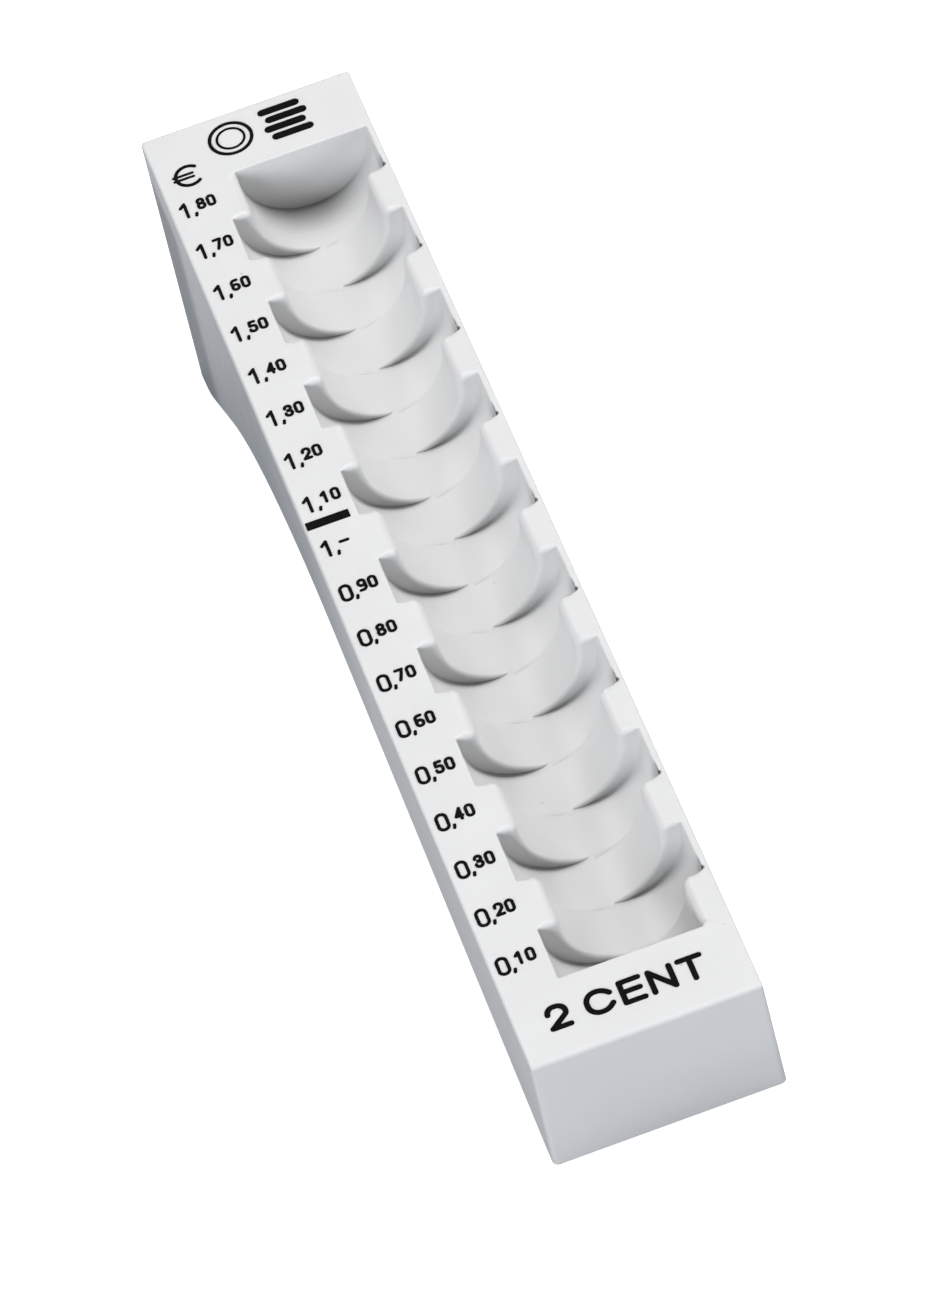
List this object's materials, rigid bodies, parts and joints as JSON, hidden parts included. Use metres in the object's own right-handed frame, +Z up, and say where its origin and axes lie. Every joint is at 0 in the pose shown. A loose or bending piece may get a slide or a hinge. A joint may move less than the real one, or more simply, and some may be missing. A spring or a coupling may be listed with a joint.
{
  "type": "coin sorting tray",
  "caption": "Sloping desk tray for sorting and counting coins of one size, with a stepped half-round channel, a printed value scale and a hollow underside.",
  "frame": {"origin": "centre of the footprint, on the table that the tray stands on", "axes": "+Z up as it stands in use, +Y from the low front end to the rear heel, +X to the right, away from the labels"},
  "size_m": [0.0318, 0.1807, 0.0467],
  "materials": {
    "tray_plastic": "satin",
    "print_ink": "matte"
  },
  "bodies": {
    "root": {"coin_pictogram": "print_ink", "currency_sign": "print_ink", "denomination_label": "print_ink", "tray_shell": "tray_plastic", "value_label_0_10": "print_ink", "value_label_0_20": "print_ink", "value_label_0_30": "print_ink", "value_label_0_40": "print_ink", "value_label_0_50": "print_ink", "value_label_0_60": "print_ink", "value_label_0_70": "print_ink", "value_label_0_80": "print_ink", "value_label_0_90": "print_ink", "value_label_1_00": "print_ink", "value_label_1_10": "print_ink", "value_label_1_20": "print_ink", "value_label_1_30": "print_ink", "value_label_1_40": "print_ink", "value_label_1_50": "print_ink", "value_label_1_60": "print_ink", "value_label_1_70": "print_ink", "value_label_1_80": "print_ink", "whole_unit_bar": "print_ink"}
  },
  "joints": []
}
